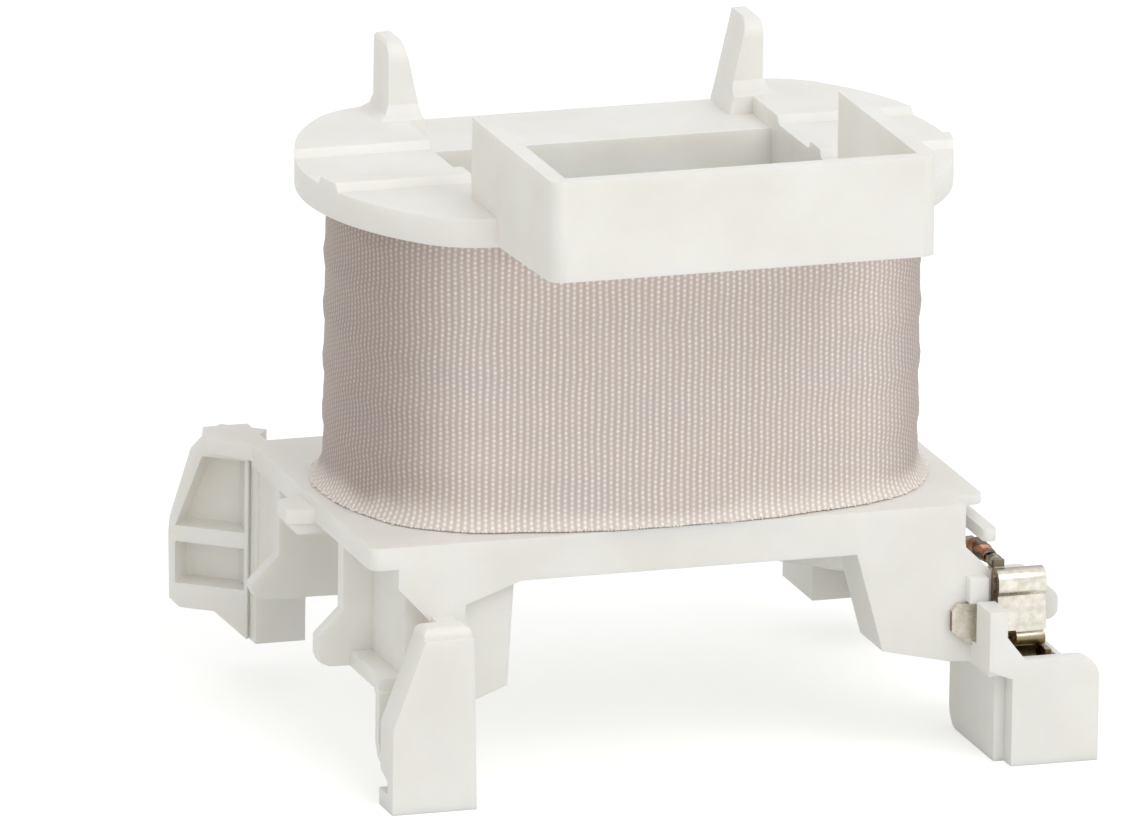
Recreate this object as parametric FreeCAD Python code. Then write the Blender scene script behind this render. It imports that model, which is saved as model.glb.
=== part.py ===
import FreeCAD, Part
import math
import os
from FreeCAD import Vector

# Coil of a small alternating-current contactor, in millimetres.
# Z runs along the core passage, X along the coil's long side, and the label frame faces -Y.
# The origin is the centre of the core passage at the top of the lower flange.

# Core passage and winding tube
core_width = 24.4
core_depth = 11.2
tube_wall = 1.0
tube_corner = 1.4
winding_height = 20.2

# Lower flange: a thin plate with deep bands along its front and rear edges
flange_length = 43.5
flange_depth = 27.4
flange_plate = 1.5
flange_corner = 0.8
band_height = 2.9
band_wall = 1.2
band_end_inset = 1.95
lead_notch_depth = 2.0
end_lip_thickness = 0.65
end_relief_y = 5.0
guide_inset = 0.75
guide_width = 0.95
guide_top_z = -1.75
guide_bottom_z = -2.6
guide_overhang = 0.3

# Upper flange: rounded plate with a raised rear zone, a rib and a lower seat between the prongs
upper_length = 44.4
upper_depth = 27.8
upper_plate = 1.95
upper_corner = 6.0
upper_shoulder = 9.0
raised_height = 0.55
raised_front_y = 4.4
rib_front_y = -4.5
rib_width = 1.9
riser_slope = 0.35
seat_drop = 0.65

# Winding of enamelled wire and the woven tape round it
winding_length = 39.6
winding_depth = 26.4
winding_corner = 9.24
winding_corner_x = 9.81
winding_corner_y = 10.54
tape_thickness = 0.35
tape_flare = 0.35
tape_flare_height = 1.4
winding_clearance = 0.05

# Label frame in front of the upper flange
label_reach = 11.7
label_top_z = 27.6
label_height = 6.8
label_wall = 1.15
label_rear_inset = 5.7
label_corner = 1.0

# Prongs on the rear edge of the upper flange
prong_height = 5.1
prong_offset = 1.0
prong_depth = 3.4
prong_tip_width = 1.15
prong_base_width = 2.3
prong_tip_radius = 1.3
prong_foot = 0.9
prong_seat_run = 0.3

# Frame of the left front corner: walls, shelf and marked leg
leg_reach = 4.2
foot_z = -17.15
leg_inset = 0.35
leg_width = 5.85
leg_right_draft = 0.35
leg_wall = 1.2
leg_plate_depth = 2.8
leg_block_depth = 5.9
leg_block_bottom_z = -14.85
leg_block_inset = 0.6
leg_pocket = 2.3
leg_pocket_wall = 0.8
leg_shoulder = 0.75
leg_hook_depth = 3.0
leg_hook_height = 1.15
leg_top_z = -5.35
leg_top_radius = 0.8
leg_slant_run = 2.2
leg_slant_bottom_z = -11.3
corner_wall_inset = 1.2
corner_inner_inset = 10.45
corner_side_inset = 2.75
shelf_inset = 1.25
shelf_top_z = -9.3
shelf_thickness = 1.1
hook_wall_inset = 0.65
rear_hook_shift = 0.55
hook_wall_thickness = 1.1
hook_slant_top_z = -6.5
front_hook_reach = 1.7
rear_hook_reach = 1.9
hook_bottom_z = -9.2
front_hook_y = -5.5
rear_hook_y = 7.0

# Rear brackets and legs
rear_leg_inner_inset = 3.75
rear_leg_outer_inset = 0.25
rear_leg_front_inset = 1.2
rear_leg_overhang = 5.2
rear_leg_step = 1.7
rear_leg_bottom_z = -13.85
bracket_reach_x = 4.4
bracket_reach_y = 3.55
bracket_panel = 1.1
bracket_recess = 2.2
bracket_overhang = 4.3
bracket_corner = 0.9
bracket_rib = 1.1
bracket_mid_z = -6.45
bracket_low_z = -10.45
bracket_low_height = 1.7

# Front right arm, post and terminal box
arm_top_inset = 9.55
arm_bottom_inset = 7.65
arm_depth = 4.7
arm_wall = 1.2
arm_bottom_z = -9.75
arm_end_bottom_z = -11.0
arm_shoulder_z = -4.8
tab_overhang = 4.9
tab_crest_overhang = 2.75
tab_crest_z = -4.95
tab_slope_z = -6.9
tab_bottom_z = -8.6
tab_inset = 0.7
tab_radius = 0.75
box_left_inset = 0.65
box_front_overhang = 0.1
box_body_overhang = 3.85
box_right_overhang = 6.2
box_top_z = -9.85
box_wall = 0.8
box_right_wall = 0.4
box_front_wall = 0.95
box_body_setback = 1.5
box_back_inset = 6.5
box_corner = 1.5
post_inset = 1.55
post_width = 1.25
post_depth = 2.8
post_top_z = -6.4
nub_inset = 1.85
nub_width = 1.3
nub_reach = 0.9

# Shorter terminal box behind the rear edge
rear_box_inset = 4.1
rear_box_bottom_z = -13.9

# Spring terminals of tinned copper sheet, and the wire ends wrapped on their posts
sheet = 0.4
terminal_gap = 0.1
lug_inset = 2.97
lug_top_z = -6.75
lug_bottom_z = -9.55
lug_chamfer = 0.45
clip_inset = 0.13
clip_width = 3.35
clip_crest_z = -4.35
clip_bend = 0.5
clip_flat = 2.3
clip_curl = 0.38
clip_curl_inset = 1.33
cheek_clearance = 0.05
cheek_bottom_z = -12.4
tang_overhang = 0.3
tang_size = 0.7
tang_length = 6.4
tang_z = -4.2
wire_diameter = 0.45
wire_turns = 6
wire_pitch = 0.55
solder_length = 0.9
solder_radius = 0.5
lead_start = 0.15

# Places that follow from the sizes
half_flange = flange_length / 2
flange_y = flange_depth / 2
band_half_length = half_flange - band_end_inset
upper_bottom_z = winding_height
upper_top_z = upper_bottom_z + upper_plate
raised_top_z = upper_top_z + raised_height
seat_z = upper_top_z - seat_drop
label_front_y = -upper_depth / 2 - label_reach
label_rear_y = -upper_depth / 2 + label_rear_inset
label_bottom_z = label_top_z - label_height
label_outer_x = core_width / 2 + label_wall
prong_outer_x = core_width / 2 + prong_offset
leg_front_y = -flange_y - leg_reach
leg_left_x = -half_flange + leg_inset
leg_right_x = leg_left_x + leg_width
leg_slant_top_x = leg_left_x + leg_slant_run
corner_wall_y = -flange_y + corner_wall_inset
corner_inner_x = -half_flange + corner_inner_inset
corner_side_x = -half_flange + corner_side_inset
shelf_left_x = -half_flange + shelf_inset
hook_wall_x = -half_flange + hook_wall_inset
rear_leg_inner_x = half_flange - rear_leg_inner_inset
rear_leg_outer_x = half_flange - rear_leg_outer_inset
rear_leg_front_y = flange_y - rear_leg_front_inset
rear_leg_back_y = flange_y + rear_leg_overhang
arm_top_x = half_flange - arm_top_inset
arm_bottom_x = half_flange - arm_bottom_inset
arm_end_x = half_flange
tab_right_x = half_flange + tab_overhang
box_left_x = half_flange - box_left_inset
box_front_left_x = half_flange + box_front_overhang
box_body_right_x = half_flange + box_body_overhang
box_right_x = half_flange + box_right_overhang
box_back_y = -flange_y + box_back_inset
post_left_x = half_flange - post_inset
nub_x = half_flange - nub_inset
rear_box_front_y = flange_y - rear_box_inset
lug_left_x = half_flange - lug_inset
clip_left_x = half_flange - clip_inset
tang_x = half_flange + tang_overhang


SIDEWAYS, BACKWARD, UP = Vector(1, 0, 0), Vector(0, 1, 0), Vector(0, 0, 1)


def box(x0, x1, y0, y1, z0, z1):
    """Block between two opposite corners."""
    return Part.makeBox(x1 - x0, y1 - y0, z1 - z0, Vector(x0, y0, z0))


def prism(points, direction):
    """Closed outline through the points, pulled along the direction."""
    return Part.Face(Part.makePolygon(points + points[:1])).extrude(direction)


def plate_xz(points, y0, y1):
    """Plate parallel to the front, from (x, z) corners, between two depths."""
    return prism([Vector(x, y0, z) for x, z in points], Vector(0, y1 - y0, 0))


def plate_yz(points, x0, x1):
    """Plate parallel to the side, from (y, z) corners, between two x values."""
    return prism([Vector(x0, y, z) for y, z in points], Vector(x1 - x0, 0, 0))


def plate_xy(points, z0, z1):
    """Level plate from (x, y) corners, between two heights."""
    return prism([Vector(x, y, z0) for x, y in points], Vector(0, 0, z1 - z0))


def round_edges(solid, radius, along, wanted=lambda p: True):
    """Fillet the straight edges that run along a direction and whose end points pass the test."""
    chosen = []
    for edge in solid.Edges:
        if len(edge.Vertexes) == 2:
            a, b = edge.Vertexes[0].Point, edge.Vertexes[1].Point
            if (b - a).cross(along).Length < 1e-6 and wanted(a) and wanted(b):
                chosen.append(edge)
    return solid.makeFillet(radius, chosen)


def round_uprights(solid, radius, wanted=lambda p: True):
    """Fillet the edges that run along Z and pass the test."""
    return round_edges(solid, radius, UP, wanted)


def mirrored(solid, normal):
    """Mirror image through the origin's plane with that normal."""
    return solid.mirror(Vector(0, 0, 0), normal)


def joined(solids):
    """One solid from overlapping solids, without seams on coplanar faces."""
    parts = [part for shape in solids for part in shape.Solids]
    return parts[0].multiFuse(parts[1:]).removeSplitter()


def upper_outline(grow):
    """Flange outline: straight front and rear, corner arcs and wide arcs at the two ends."""
    half_x, half_y = upper_length / 2 + grow, upper_depth / 2 + grow
    radius, straight = upper_corner + grow, upper_length / 2 - upper_shoulder
    rise, run = half_y - radius, half_x - radius
    end_centre = (run ** 2 - straight ** 2 - rise ** 2) / (2 * (run - straight))
    end_radius = half_x - end_centre
    slope = math.atan2(rise, straight - end_centre)
    touch = Vector(end_centre + end_radius * math.cos(slope), end_radius * math.sin(slope), 0)
    half_slope = (math.pi / 2 + slope) / 2
    middle = Vector(straight + radius * math.cos(half_slope), rise + radius * math.sin(half_slope), 0)
    front = Vector(straight, half_y, 0)
    edges = []
    for sx, sy in ((1, 1), (-1, 1), (-1, -1), (1, -1)):
        corner = [Vector(sx * p.x, sy * p.y, 0) for p in (touch, middle, front)]
        edges.append(Part.Arc(*corner).toShape())
    for sx in (1, -1):
        ends = [Vector(sx * touch.x, side * touch.y, 0) for side in (-1, 1)]
        edges.append(Part.Arc(ends[0], Vector(sx * half_x, 0, 0), ends[1]).toShape())
    for sy in (1, -1):
        edges.append(Part.LineSegment(Vector(-straight, sy * half_y, 0),
                                      Vector(straight, sy * half_y, 0)).toShape())
    return Part.Wire(Part.__sortEdges__(edges))


def upper_slab(z0, z1, grow=0.0):
    """Part of the upper flange between two heights."""
    return Part.Face(upper_outline(grow)).extrude(Vector(0, 0, z1 - z0)).translated(Vector(0, 0, z0))


def winding_outline(grow, z):
    """Outline of the winding at one height: corner arcs that run into wide arcs on all four sides."""
    half_x, half_y = winding_length / 2, winding_depth / 2
    radius, drop_x, drop_y = winding_corner, winding_corner_x, winding_corner_y
    centre = Vector(half_x - drop_x, half_y - drop_y, 0)
    front_radius = (radius ** 2 - centre.x ** 2 - drop_y ** 2) / (2 * (radius - drop_y))
    end_radius = (radius ** 2 - centre.y ** 2 - drop_x ** 2) / (2 * (radius - drop_x))
    front_centre, end_centre = Vector(0, half_y - front_radius, 0), Vector(half_x - end_radius, 0, 0)
    to_front, to_end = (centre - front_centre).normalize(), (centre - end_centre).normalize()
    middle = (to_front + to_end).normalize()
    corner = [centre + way * (radius + grow) for way in (to_front, middle, to_end)]
    edges = []
    for sx, sy in ((1, 1), (-1, 1), (-1, -1), (1, -1)):
        edges.append(Part.Arc(*[Vector(sx * p.x, sy * p.y, z) for p in corner]).toShape())
    for side in (1, -1):
        ends = [Vector(side * corner[2].x, sy * corner[2].y, z) for sy in (1, -1)]
        edges.append(Part.Arc(ends[0], Vector(side * (half_x + grow), 0, z), ends[1]).toShape())
        ends = [Vector(sx * corner[0].x, side * corner[0].y, z) for sx in (1, -1)]
        edges.append(Part.Arc(ends[0], Vector(0, side * (half_y + grow), z), ends[1]).toShape())
    return Part.Wire(Part.__sortEdges__(edges))


def core_hole(z0, z1):
    """Space of the core's middle limb."""
    return box(-core_width / 2, core_width / 2, -core_depth / 2, core_depth / 2, z0, z1)


def make_tube():
    """Thin-walled tube that the wire is wound on."""
    half_x, half_y = core_width / 2 + tube_wall, core_depth / 2 + tube_wall
    return round_uprights(box(-half_x, half_x, -half_y, half_y, -flange_plate, upper_top_z), tube_corner)


def make_lower_flange():
    """Plate, front and rear bands, and thinner right corners where the wire ends pass."""
    plate = round_uprights(box(-half_flange, half_flange, -flange_y, flange_y, -flange_plate, 0),
                           flange_corner)
    notch_x = band_half_length
    corner_y = flange_y - lead_notch_depth
    solids = []
    for side in (-1, 1):
        low, high = sorted((side * corner_y, side * (flange_y + 1)))
        plate = plate.cut(box(notch_x, half_flange + 1, low, high, -flange_plate - 1, 1))
        low, high = sorted((side * end_relief_y, side * (flange_y + 1)))
        plate = plate.cut(box(notch_x, half_flange + 1, low, high, -flange_plate - 1, -end_lip_thickness))
        low, high = sorted((side * (flange_y - band_wall), side * flange_y))
        solids.append(box(-band_half_length, band_half_length, low, high, -band_height, 0))
    plate = round_uprights(plate, flange_corner,
                           lambda p: p.x > half_flange - 0.01 and abs(p.y) > corner_y - 0.01)
    solids.append(plate)
    guide_x, guide_y = half_flange - guide_inset, flange_y + guide_overhang
    guide = box(guide_x, guide_x + guide_width, -guide_y, guide_y, guide_bottom_z, guide_top_z)
    solids.append(round_uprights(guide, guide_width * 0.45))
    relief = end_relief_y + 0.5
    solids.append(box(notch_x - 0.5, guide_x + guide_width, -relief, relief, guide_bottom_z,
                      -end_lip_thickness))
    return solids


def make_left_tongue():
    """Short guide tongue on the left edge of the lower flange, with a wedge under it."""
    x = -half_flange
    tongue = plate_xy([(x - 1.8, 1.4), (x - 2.0, -1.3), (x - 0.4, -1.6), (x + 1, -1.6), (x + 1, 2.2),
                       (x, 2.2)],
                      -flange_plate, -0.55)
    wedge = plate_xz([(x - 1.9, -flange_plate), (x - 1.2, -flange_plate - 0.8),
                      (x + 1, -flange_plate - 0.8),
                      (x + 1, -flange_plate + 0.2), (x - 1.9, -flange_plate + 0.2)], -1.3, 1.0)
    return [tongue, wedge]


def make_upper_flange():
    """Winding tube and rounded plate with the raised rear zone, the rib and the seat between the prongs."""
    wide = upper_length
    slab = upper_slab(upper_bottom_z, upper_top_z)
    raised = upper_slab(upper_bottom_z, raised_top_z)
    low, high, slope = upper_bottom_z + 0.5, raised_top_z, riser_slope
    rear = plate_yz([(raised_front_y - slope, low), (raised_front_y - slope, upper_top_z),
                     (raised_front_y, high), (wide, high), (wide, low)], -wide, wide)
    rib_rear_y = rib_front_y + rib_width
    rib = plate_yz([(rib_front_y - slope, low), (rib_front_y - slope, upper_top_z), (rib_front_y, high),
                    (rib_rear_y, high), (rib_rear_y + slope, upper_top_z), (rib_rear_y + slope, low)],
                   -wide, wide)
    flange = joined([slab, raised.common(rear), raised.common(rib), make_tube()])
    seat_half = core_width / 2
    return flange.cut(box(-seat_half, seat_half, core_depth / 2 - 1, wide, seat_z, raised_top_z + 1))


def make_label_frame():
    """U-shaped frame for the core's outer limb: front plate and two side walls on the flange."""
    rear_z = upper_bottom_z + 0.1
    side = [(label_front_y, label_bottom_z), (label_front_y, label_top_z), (label_rear_y, label_top_z),
            (label_rear_y, rear_z), (-upper_depth / 2, rear_z)]
    solid = plate_yz(side, -label_outer_x, label_outer_x)
    return round_uprights(solid, label_corner, lambda p: abs(p.y - label_front_y) < 1e-6)


def make_prong(side):
    """Wedge-shaped prong with a rounded front at the tip and a flared foot."""
    rear_y = upper_depth / 2
    front_y = rear_y - prong_depth
    top, base, foot = raised_top_z + prong_height, raised_top_z, upper_bottom_z + 0.5
    outer = prong_outer_x
    side_view = plate_yz([(rear_y, foot), (rear_y, top), (front_y, top), (front_y, base + prong_foot),
                          (front_y - prong_foot * 0.3, base + prong_foot * 0.3),
                          (front_y - prong_foot, base),
                          (front_y - prong_foot, foot)], outer - prong_base_width - 3, outer + 3)
    side_view = round_edges(side_view, prong_tip_radius, SIDEWAYS,
                            lambda p: abs(p.y - front_y) < 1e-6 and p.z > top - 1e-6)
    inner_base = outer - prong_base_width
    front_view = plate_xz([(outer + prong_foot, foot), (outer + prong_foot, base),
                           (outer + prong_foot * 0.3, base + prong_foot * 0.3), (outer, base + prong_foot),
                           (outer, top - 0.2), (outer - 0.2, top), (outer - prong_tip_width, top),
                           (inner_base, base), (inner_base - prong_seat_run, seat_z),
                           (inner_base - prong_seat_run, foot)],
                          front_y - 3, rear_y + 1)
    prong = side_view.common(front_view)
    return prong if side > 0 else mirrored(prong, SIDEWAYS)


def hook_profile(x, slant_top, reach, bottom):
    """Outer end of a cross wall: upright edge, slant outwards and a blunt foot."""
    end = x - reach
    return [(corner_side_x + 2, -flange_plate / 2), (x, -flange_plate / 2), (x, slant_top),
            (end, slant_top - reach),
            (end, bottom + 0.9), (end + 0.25, bottom + 0.35), (end + 0.8, bottom + 0.1),
            (corner_side_x + 2, bottom)]


def make_left_front():
    """Corner housing under the flange with the marked snap leg in front of it."""
    top = -flange_plate / 2
    shelf_bottom = shelf_top_z - shelf_thickness
    hook_back_y = front_hook_y + hook_wall_thickness
    front_hook = plate_xz(hook_profile(hook_wall_x, hook_slant_top_z, front_hook_reach, shelf_bottom),
                          front_hook_y, hook_back_y)
    side_wall = box(corner_side_x, corner_side_x + leg_wall, corner_wall_y, hook_back_y, shelf_bottom, top)
    front_wall = plate_xz([(corner_side_x, top), (corner_inner_x, top),
                           (corner_inner_x - 0.5, shelf_bottom),
                           (corner_inner_x - 2.6, shelf_bottom - 0.8), (corner_side_x, shelf_bottom - 0.8)],
                          corner_wall_y, corner_wall_y + leg_wall)
    column_left = leg_left_x + leg_block_inset
    pocket_right, plate_back = column_left + leg_pocket, leg_front_y + leg_plate_depth
    shelf = plate_xy([(shelf_left_x, hook_back_y), (leg_right_x, hook_back_y), (leg_right_x, plate_back),
                      (pocket_right, plate_back), (pocket_right, corner_wall_y),
                      (column_left, corner_wall_y),
                      (column_left, corner_wall_y + 0.8), (shelf_left_x, corner_wall_y + 1.8)],
                     shelf_bottom, shelf_top_z)
    funnel = plate_xz([(-band_half_length, -band_height / 2), (-band_half_length, -band_height),
                       (leg_slant_top_x + 1.7, leg_top_z), (leg_slant_top_x + 1.7, leg_top_z - 1.5),
                       (leg_right_x + 0.4, leg_top_z - 1.5), (leg_right_x + 0.4, -band_height - 1.4),
                       (corner_inner_x, -band_height), (corner_inner_x, -band_height / 2)],
                      -flange_y, -flange_y + band_wall)
    return [front_hook, side_wall, front_wall, shelf, funnel, make_marked_leg()]


def make_marked_leg():
    """Snap leg: rounded shoulder, hooked foot, and a hollow column behind the lower half of its face."""
    hook_top = foot_z + leg_hook_height
    shoulder_z = leg_top_z + leg_shoulder
    plate_back = leg_front_y + leg_plate_depth
    column_back = leg_front_y + leg_block_depth
    shelf_bottom = shelf_top_z - shelf_thickness
    bottom = leg_block_bottom_z
    side = [(leg_front_y, leg_top_z), (leg_front_y + 0.5, leg_top_z), (leg_front_y + 0.5, shoulder_z),
            (plate_back, shoulder_z), (plate_back, bottom + 0.2), (leg_front_y + leg_wall, bottom - 0.3),
            (leg_front_y + leg_wall, hook_top), (leg_front_y + leg_hook_depth, hook_top),
            (leg_front_y + leg_hook_depth, foot_z), (leg_front_y, foot_z)]
    block = plate_yz(side, leg_left_x, leg_right_x)
    block = round_edges(block, leg_top_radius * 1.3, SIDEWAYS,
                        lambda p: abs(p.y - plate_back) < 1e-6 and abs(p.z - shoulder_z) < 1e-6)
    rim = min(leg_top_radius, leg_shoulder * 0.8)
    block = round_edges(block, rim, SIDEWAYS,
                        lambda p: abs(p.y - leg_front_y - 0.5) < 1e-6 and abs(p.z - shoulder_z) < 1e-6)
    right_top = leg_right_x - leg_right_draft
    face = plate_xz([(leg_slant_top_x, shoulder_z), (right_top, shoulder_z), (leg_right_x, foot_z),
                     (leg_left_x, foot_z), (leg_left_x, leg_slant_bottom_z), (leg_slant_top_x, leg_top_z)],
                    leg_front_y, plate_back + 0.2)
    face = round_edges(face, rim, BACKWARD, lambda p: abs(p.z - shoulder_z) < 1e-6)
    bridge = box(leg_slant_top_x + 1.7, right_top - 0.2, plate_back - 1.0, -flange_y + 0.3,
                 leg_top_z - 1.2, leg_top_z + 0.4)
    left = leg_left_x + leg_block_inset
    column = plate_yz([(plate_back - 0.5, shelf_bottom + 0.2), (column_back, shelf_bottom + 0.2),
                       (column_back, bottom + 1.2), (column_back - 0.5, bottom + 0.3),
                       (column_back - 1.2, bottom), (plate_back - 0.5, bottom)], left, leg_right_x)
    back = column_back - leg_pocket_wall
    pocket = plate_yz([(plate_back, shelf_bottom + 1), (back, shelf_bottom + 1), (back, bottom + 1.2),
                       (back - 0.4, bottom + 0.6), (plate_back, bottom + 0.5)], left - 1, left + leg_pocket)
    lower = joined([column.cut(pocket), block.common(face)])
    return joined([lower, bridge])


def make_left_rear():
    """Cross wall with a hook foot, and the wall that joins it to the rear corner."""
    x = hook_wall_x - rear_hook_shift
    hook = plate_xz(hook_profile(x, hook_slant_top_z + 0.4, rear_hook_reach, hook_bottom_z), rear_hook_y,
                    rear_hook_y + hook_wall_thickness)
    wall = box(x + 0.3, x + 0.3 + leg_wall, rear_hook_y, rear_leg_front_y + leg_wall, hook_bottom_z,
               -flange_plate / 2)
    return [hook, wall]


def make_rear_leg(side):
    """Leg under a rear corner, cored from the rear."""
    top = -flange_plate / 2
    leg = box(rear_leg_inner_x, rear_leg_outer_x, rear_leg_front_y, rear_leg_back_y, rear_leg_bottom_z, top)
    core = box(rear_leg_inner_x + leg_wall, rear_leg_outer_x - leg_wall, rear_leg_front_y + leg_wall,
               rear_leg_back_y + 1, rear_leg_bottom_z + leg_wall, -rear_leg_step - leg_wall)
    leg = leg.cut(core).cut(box(rear_leg_inner_x - 1, rear_leg_outer_x + 1, flange_y, rear_leg_back_y + 1,
                                -rear_leg_step, 1))
    return leg if side > 0 else mirrored(leg, SIDEWAYS)


def make_bracket():
    """Slanting ribbed bracket at the rear left corner."""
    corner_x, corner_y = -half_flange, flange_y
    length = math.hypot(bracket_reach_x, bracket_reach_y)
    angle = math.degrees(math.atan2(bracket_reach_y, -bracket_reach_x))

    def placed(solid):
        moved = solid.copy()
        moved.rotate(Vector(0, 0, 0), Vector(0, 0, 1), angle - 180)
        moved.translate(Vector(corner_x, corner_y, 0))
        return moved

    low_bottom = bracket_low_z - bracket_low_height
    outline = [(0, 0), (-length * 0.6, 0), (-length * 0.74, -0.9), (-length, -5.8), (-length - 0.1, -6.9),
               (-length, low_bottom + 0.6), (-length * 0.86, low_bottom), (-length * 0.42, low_bottom),
               (0, rear_leg_bottom_z)]
    depth = bracket_panel + bracket_recess
    panel = placed(plate_xz(outline, 0, depth))
    back_y, inner_x = corner_y + bracket_overhang, -rear_leg_outer_x + 1.0
    top_plate = plate_xy([(corner_x, corner_y - 1),
                          (corner_x - bracket_reach_x * 0.6, corner_y + bracket_reach_y * 0.6),
                          (corner_x - 1.9, back_y), (inner_x, back_y), (inner_x, corner_y - 1)],
                         -bracket_rib, 0)
    top_plate = round_uprights(top_plate, bracket_corner, lambda p: p.x < corner_x - 1)
    back_wall = box(corner_x - 1.9, inner_x, back_y - leg_wall, back_y, low_bottom, 0)
    bracket = joined([panel, top_plate, back_wall])
    left = -length + 0.4
    for top, bottom in ((-bracket_rib - 0.3, bracket_mid_z), (bracket_mid_z - bracket_rib, bracket_low_z)):
        upper_left = left + 1.9 if top > -2 else left
        bracket = bracket.cut(placed(plate_xz([(-0.25, top), (upper_left, top), (left, bottom),
                                               (-0.25, bottom)],
                                              -2, bracket_recess)))
    return [bracket]


def terminal_housing(box_back, bottom):
    """Arm, post, tab and open box of one terminal, drawn for the front right corner."""
    face_y = -flange_y
    arm = plate_xz([(arm_top_x, -flange_plate / 2), (band_half_length, -flange_plate / 2),
                    (band_half_length, -band_height), (arm_end_x, arm_shoulder_z),
                    (arm_end_x, arm_end_bottom_z),
                    (arm_end_x - 3.0, arm_end_bottom_z + 0.2), (arm_bottom_x, arm_bottom_z),
                    (arm_top_x, -band_height)], face_y, face_y + arm_depth)
    core = plate_xz([(arm_top_x + arm_wall, -flange_plate), (arm_end_x + 1, -flange_plate),
                     (arm_end_x + 1, box_top_z + 1), (arm_end_x - arm_wall, arm_end_bottom_z + arm_wall),
                     (arm_bottom_x + arm_wall, arm_bottom_z + arm_wall)], face_y + arm_wall,
                    face_y + arm_depth + 1)
    arm = arm.cut(core)
    tab_front_y = face_y + tab_inset
    tab = plate_xz([(arm_end_x - 1, box_top_z - 1), (arm_end_x - 1, tab_crest_z),
                    (arm_end_x + tab_crest_overhang, tab_crest_z),
                    (tab_right_x, tab_slope_z), (tab_right_x, tab_bottom_z),
                    (box_body_right_x - 0.6, tab_bottom_z),
                    (box_body_right_x - 0.6, box_top_z - 1)], tab_front_y, tab_front_y + arm_wall)
    tab = round_edges(tab, tab_radius, BACKWARD, lambda p: p.x > arm_end_x + 1 and p.z > tab_bottom_z - 0.1
                      and abs(p.x - box_body_right_x + 0.6) > 0.01)
    front = box(box_front_left_x, box_right_x, leg_front_y, leg_front_y + box_front_wall, bottom, box_top_z)
    front = round_edges(front, box_corner, BACKWARD,
                        lambda p: p.x > box_right_x - 1e-6 and p.z > box_top_z - 1e-6)
    body_front = leg_front_y + box_body_setback
    shell = box(box_left_x, box_body_right_x, body_front, box_back, bottom, box_top_z)
    shell = round_edges(shell, box_corner, SIDEWAYS,
                        lambda p: p.y > box_back - 1e-6 and p.z < bottom + 1e-6)
    core_front = box(box_front_left_x, box_body_right_x, leg_front_y, body_front + 0.1, bottom, box_top_z)
    cavity_front = box(box_front_left_x + box_wall, box_body_right_x - box_right_wall,
                       leg_front_y + box_front_wall, body_front + 0.2, bottom + box_wall, box_top_z + 1)
    cavity = box(box_left_x + box_wall, box_body_right_x - box_right_wall, body_front + 0.1,
                 box_back - box_wall, bottom + box_wall, box_top_z + 1)
    shell = joined([shell, core_front]).cut(cavity_front)
    bridge = box(arm_end_x - 1.5, box_left_x + box_wall, face_y, face_y + arm_depth, arm_end_bottom_z,
                 box_top_z + 1)
    right = post_left_x + post_width
    post = plate_xz([(post_left_x, post_top_z), (right, post_top_z), (right, post_top_z - 1.8),
                     (right + 1.3, box_top_z), (right + 1.3, box_top_z - 1.4),
                     (box_front_left_x - 0.2, box_top_z - 1.2), (post_left_x, box_top_z - 0.6)],
                    leg_front_y, leg_front_y + box_front_wall)
    stem = box(post_left_x, right, leg_front_y, leg_front_y + post_depth, box_top_z - 0.6, post_top_z)
    link = box(post_left_x, box_left_x + box_wall, leg_front_y + 0.2, face_y + 0.5, box_top_z - 1.0,
               lug_bottom_z + 0.2)
    nub = box(nub_x, nub_x + nub_width, face_y - nub_reach, face_y + 0.2, lug_top_z + 0.1, lug_top_z + 1.8)
    return joined([arm, tab, front, shell.cut(cavity), bridge.cut(cavity), post, stem, link.cut(cavity),
                   nub])


def make_bobbin():
    """The whole white moulding."""
    solids = [make_upper_flange()]
    solids += make_lower_flange() + make_left_tongue() + make_left_front() + make_left_rear()
    solids += [make_prong(1), make_prong(-1), make_rear_leg(1), make_rear_leg(-1)]
    solids += make_bracket()
    solids.append(terminal_housing(box_back_y, foot_z))
    rear = terminal_housing(-rear_box_front_y, rear_box_bottom_z)
    solids.append(mirrored(rear, BACKWARD))
    bobbin = joined(solids + [make_label_frame()])
    bobbin = bobbin.cut(core_hole(-flange_plate - 1, raised_top_z + 1))
    slot_y = flange_y + terminal_gap
    slot = box(lug_left_x - 0.1, box_left_x + box_wall + 0.1, slot_y - 0.05, slot_y + sheet + 0.05,
               lug_bottom_z - 0.1, lug_top_z + 0.1)
    bobbin = bobbin.cut(slot).cut(mirrored(slot, BACKWARD))
    window_rear = -upper_depth / 2
    window = box(-core_width / 2, core_width / 2, label_front_y + label_wall, window_rear,
                 upper_bottom_z - 1, label_top_z + 1)
    above = box(-core_width / 2, core_width / 2, window_rear - 0.01, 0, upper_top_z, label_top_z + 1)
    return bobbin.cut(window).cut(above)


def make_winding():
    """Solid block of wire turns round the tube."""
    z0, z1 = winding_clearance, winding_height - winding_clearance
    block = Part.Face(winding_outline(0, z0)).extrude(Vector(0, 0, z1 - z0))
    half_x = core_width / 2 + tube_wall + winding_clearance
    half_y = core_depth / 2 + tube_wall + winding_clearance
    hollow = round_uprights(box(-half_x, half_x, -half_y, half_y, z0 - 1, z1 + 1),
                            tube_corner + winding_clearance)
    return block.cut(hollow)


def make_tape():
    """Woven tape round the winding, spreading onto the lower flange."""
    z0, z1 = winding_clearance, winding_height - winding_clearance
    outer = tape_thickness
    body = Part.Face(winding_outline(outer, z0)).extrude(Vector(0, 0, z1 - z0))
    skirt = Part.makeLoft([winding_outline(outer + tape_flare, z0),
                           winding_outline(outer, z0 + tape_flare_height)],
                          True, True)
    shell = joined([body, skirt])
    return shell.cut(Part.Face(winding_outline(0, z0 - 1)).extrude(Vector(0, 0, z1 - z0 + 2)))


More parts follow.
